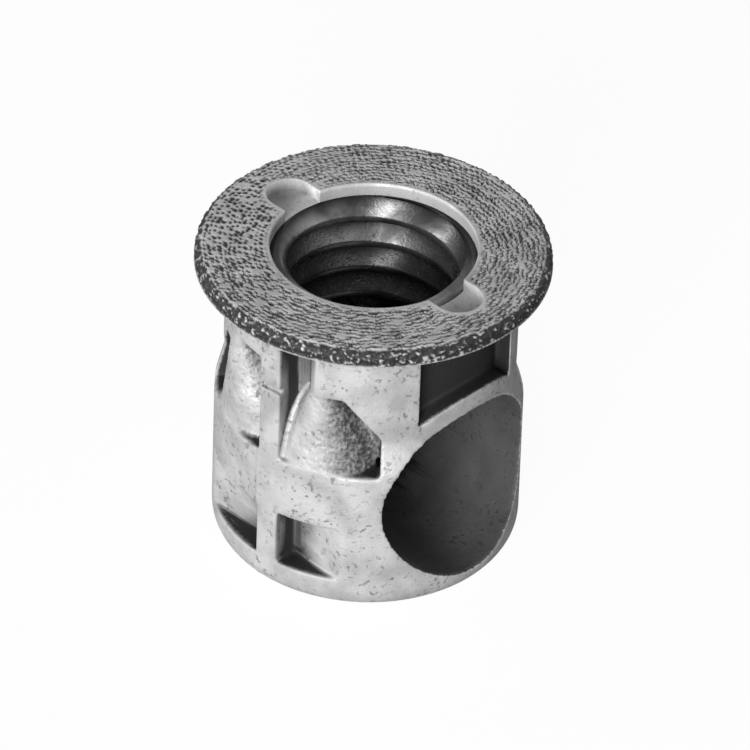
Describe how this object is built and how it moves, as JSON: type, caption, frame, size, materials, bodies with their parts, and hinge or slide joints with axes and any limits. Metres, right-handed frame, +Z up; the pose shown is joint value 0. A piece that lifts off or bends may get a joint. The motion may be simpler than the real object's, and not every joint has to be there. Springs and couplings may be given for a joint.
{
  "type": "flanged threaded insert",
  "caption": "Round flanged furniture insert, a metal casting with a vertical screw thread that opens into a plain bore in the side of its barrel.",
  "frame": {"origin": "middle of the flat bottom of the barrel", "axes": "+Z up along the thread, out through the flange; +X out of the cross bore; Y through the two ribs"},
  "size_m": [0.0172, 0.0172, 0.0166],
  "materials": {
    "cast_zinc": "satin"
  },
  "bodies": {
    "root": {"insert_body": "cast_zinc"}
  },
  "joints": []
}
